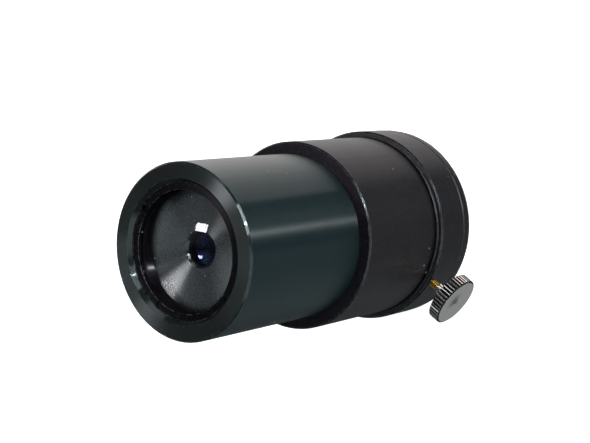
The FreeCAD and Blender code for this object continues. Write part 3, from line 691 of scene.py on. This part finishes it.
# the room: a bright overhead side that ends above the front, a dim middle, a pale table side and soft glows
roomLight = {
    "upWay": (0.3256, 0.9455, 0.0), "upFull": -0.35, "upNone": -0.02,
    "upSteps": (
        (0.25, 0.0), (0.29, 0.40), (0.33, 0.60), (0.42, 0.66),
        (0.54, 0.86), (0.66, 1.25), (0.75, 1.75), (0.88, 3.0),
    ),
    "upTop": 3.4,
    "upColour": (1.0, 0.95, 0.93, 1), "sideColour": (0.88, 1.0, 1.0, 1),
    "tableWay": (-0.809, -0.588, 0.0), "tableFrom": 0.05, "tableTo": 0.10, "tableGlow": 0.11,
    "tableHigh": 0.03,
    "tableFade": (-0.1, 0.25), "middleEdge": (-0.12, -0.02), "middleFade": (0.0, 0.4), "highFade": 0.03,
    "cameraGlow": 0.95,
    "zenithWay": (-0.36, -0.03, 0.93), "zenithFrom": 0.93, "zenithTo": 0.985, "zenithGlow": 1.3,
    "footWay": (-0.42, -0.45, -0.79), "footFrom": 0.92, "footTo": 0.98, "footGlow": 0.12,
    "lowWay": (0.10, -0.82, 0.56), "lowFrom": 0.85, "lowTo": 0.95, "lowGlow": 0.9,
    "highGlow": 0.16, "highEdge": 0.05, "highSoft": 0.02, "highBottom": 0.73, "highTop": 0.86,
    "middleGlow": 0.08, "bandGlow": 0.03, "middleHigh": 0.3,
}
world = bpy.data.worlds.new("studio")
bpy.context.scene.world = world
world.use_nodes = True
tree = world.node_tree
direction = vectorMaths(tree, "NORMALIZE", addNode(tree, "TexCoord").outputs["Generated"])
heightOf = addNode(tree, "SeparateXYZ")
feed(tree, heightOf.inputs[0], direction)
height = heightOf.outputs[2]


def shareOf(way):
    return vectorMaths(tree, "DOT_PRODUCT", direction, Vector(way).normalized(), output="Value")


def softGlow(name):
    share = shareOf(roomLight[name + "Way"])
    limits = roomLight[name + "From"], roomLight[name + "To"]
    return remap(tree, share, *limits, 0, roomLight[name + "Glow"], smooth=True)


upShare = addNode(tree, "ValToRGB")
feed(tree, upShare.inputs[0], shareOf(roomLight["upWay"]))
steps = upShare.color_ramp.elements
for place, glow in roomLight["upSteps"][1:-1]:
    steps.new(place)
for step, (place, glow) in zip(steps, roomLight["upSteps"]):
    step.position = place
    step.color = (*[glow / roomLight["upTop"]] * 3, 1)
up = maths(tree, "MULTIPLY", upShare.outputs[0], roomLight["upTop"])
up = maths(tree, "MULTIPLY", up, remap(tree, height, roomLight["upNone"], roomLight["upFull"], smooth=True))
tableShare = shareOf(roomLight["tableWay"])
table = remap(tree, tableShare, roomLight["tableFrom"], roomLight["tableTo"], smooth=True)
tableEnds = roomLight["tableGlow"], roomLight["tableHigh"]
low = remap(tree, height, *roomLight["tableFade"], *tableEnds, smooth=True)
table = maths(tree, "MULTIPLY", table, low)
middleEnds = roomLight["middleGlow"], roomLight["bandGlow"]
middle = remap(tree, tableShare, *roomLight["middleEdge"], *middleEnds, smooth=True)
middleFall = remap(tree, height, *roomLight["middleFade"], 1.0, roomLight["middleHigh"], smooth=True)
middle = maths(tree, "MULTIPLY", middle, middleFall)
# soft glows over, below and behind the front, and a dim patch above it with straight edges
edge, soft, fade = roomLight["highEdge"], roomLight["highSoft"], roomLight["highFade"]
bottom, top = roomLight["highBottom"], roomLight["highTop"]
high = remap(tree, tableShare, edge + soft, edge - soft, 0, roomLight["highGlow"])
high = maths(tree, "MULTIPLY", high, remap(tree, height, bottom - fade, bottom + fade))
high = maths(tree, "MULTIPLY", high, remap(tree, height, top + fade, top - fade))
side = maths(tree, "ADD", softGlow("zenith"), softGlow("foot"))
side = maths(tree, "ADD", side, maths(tree, "ADD", softGlow("low"), high))
side = maths(tree, "ADD", maths(tree, "ADD", table, middle), side)
glow = maths(tree, "ADD", up, side)
tone = mixColours(tree, maths(tree, "DIVIDE", side, glow), roomLight["upColour"], roomLight["sideColour"])
background = tree.nodes["Background"]
paths = addNode(tree, "LightPath")
shown = addNode(tree, "Mix", data_type="FLOAT")
feed(tree, shown.inputs[0], paths.outputs["Is Camera Ray"])
feed(tree, shown.inputs[2], glow)
feed(tree, shown.inputs[3], roomLight["cameraGlow"])
feed(tree, background.inputs["Strength"], shown.outputs[0])
feed(tree, background.inputs["Color"], mixColours(tree, paths.outputs["Is Camera Ray"], tone, (1, 1, 1, 1)))


# a rectangular light that stands out from its aim along way, its back turned along way too or along back
def panelLight(name, look):
    data = bpy.data.lights.new(name, "AREA")
    data.shape = "RECTANGLE"
    data.size, data.size_y = look["wide"], look["high"]
    data.energy = look["glow"] * math.pi * look["wide"] * look["high"]
    data.color = look["colour"]
    light = bpy.data.objects.new(name, data)
    way = Vector(look["way"]).normalized()
    back = Vector(look.get("back", way)).normalized()
    side = Vector(look["side"])
    side = (side - back * side.dot(back)).normalized()
    turned = Matrix((side, back.cross(side), back)).transposed().to_4x4()
    light.matrix_world = Matrix.Translation(Vector(look["aim"]) + way * look["far"]) @ turned
    bpy.context.scene.collection.objects.link(light)
    return light


panels = {
    "windowPanel": {"way": (-0.3032, 0.4701, 0.8289), "back": (0.194, 0.863, 0.466),
                    "side": (0.2795, -0.5034, 0.8168), "far": 1.5,
                    "wide": 0.1389, "high": 0.0852, "glow": 24.0, "colour": (0.97, 0.95, 1.0),
                    "aim": (0.0074, -0.001, 0.0817)},
    "sectorPanel": {"way": (0.10, 0.395, 0.913), "side": (0.97, -0.24, 0.0), "far": 1.5, "wide": 0.20,
                    "high": 0.34,
                    "glow": 75.0, "colour": (1.0, 0.96, 0.96), "aim": (0.0, 0.0, 0.08),
                    "only": ("cellPlate",)},
    "facePanel": {"way": (0.10, 0.425, 0.900), "side": (0.97, -0.24, 0.0), "far": 1.5, "wide": 0.20,
                  "high": 0.24,
                  "glow": 58.0, "colour": (1.0, 0.98, 0.96), "aim": (0.0, 0.0, 0.08),
                  "skips": ("cellPlate", "cellWall")},
    "farPanel": {"way": (-0.70, 0.64, 0.32), "side": (0.67, 0.74, 0.0), "far": 1.5, "wide": 0.46,
                 "high": 0.46,
                 "glow": 4.5, "colour": (0.88, 1.0, 1.0), "aim": (0.0, 0.0, 0.08), "only": ("front_barrel",)},
    "linePanel": {"way": (0.375, -0.08, 0.925), "side": (0.372, -0.247, -0.173), "far": 1.5, "wide": 0.60,
                  "high": 0.007,
                  "glow": 260.0, "colour": (0.85, 0.93, 1.0), "aim": (0.0, 0.0, 0.08),
                  "skips": ("cellWall",)},
    "wallPanel": {"way": (0.352, -0.114, 0.929), "side": (0.352, -0.272, -0.173), "far": 1.5, "wide": 0.60,
                  "high": 0.007,
                  "glow": 10000.0, "colour": (0.92, 0.95, 1.0), "aim": (0.0, 0.0, 0.08),
                  "only": ("cellWall",)},
    "chamferPanel": {"way": (0.745, -0.25, 0.592), "side": (0.25, 0.58, -0.06), "far": 0.8, "wide": 0.42,
                     "high": 0.05,
                     "glow": 24.0, "colour": (0.90, 0.97, 1.0), "aim": (0.0, 0.0, 0.08)},
    "overPanel": {"way": (0.60, 0.50, 0.62), "side": (0.0, 0.0, 1.0), "far": 1.5, "wide": 0.7, "high": 0.7,
                  "glow": 1.3, "colour": (0.96, 0.98, 1.0), "aim": (0.0, 0.0, 0.05)},
    "slimPanel": {"way": (0.733, -0.330, 0.595), "side": (0.56, 0.83, 0.0), "far": 0.8, "wide": 0.008,
                  "high": 0.07,
                  "glow": 900.0, "colour": (0.80, 0.92, 1.0), "aim": (0.0, 0.0, 0.06)},
    "sidePanel": {"way": (0.779, -0.62, 0.095), "side": (0.665, 0.746, 0.0), "far": 0.8, "wide": 0.038,
                  "high": 0.25,
                  "glow": 150.0, "colour": (1.0, 0.98, 0.96), "aim": (0.0, 0.0, 0.06)},
}


# flags keep a panel's light to a few pieces, or off them
def flagPanel(light, names, state):
    flagged = bpy.data.collections.new(light.name + "Flag")
    for name in names:
        flagged.objects.link(bpy.data.objects[name])
    for entry in flagged.collection_objects:
        entry.light_linking.link_state = state
    light.light_linking.receiver_collection = flagged


for name, look in panels.items():
    light = panelLight(name, look)
    if "only" in look:
        flagPanel(light, look["only"], "INCLUDE")
    else:
        flagPanel(light, look.get("skips", ("cellWall",)), "EXCLUDE")

bpy.context.scene.view_settings.view_transform = "Standard"
print("camera, floor and lights placed")
bpy.context.view_layer.update()
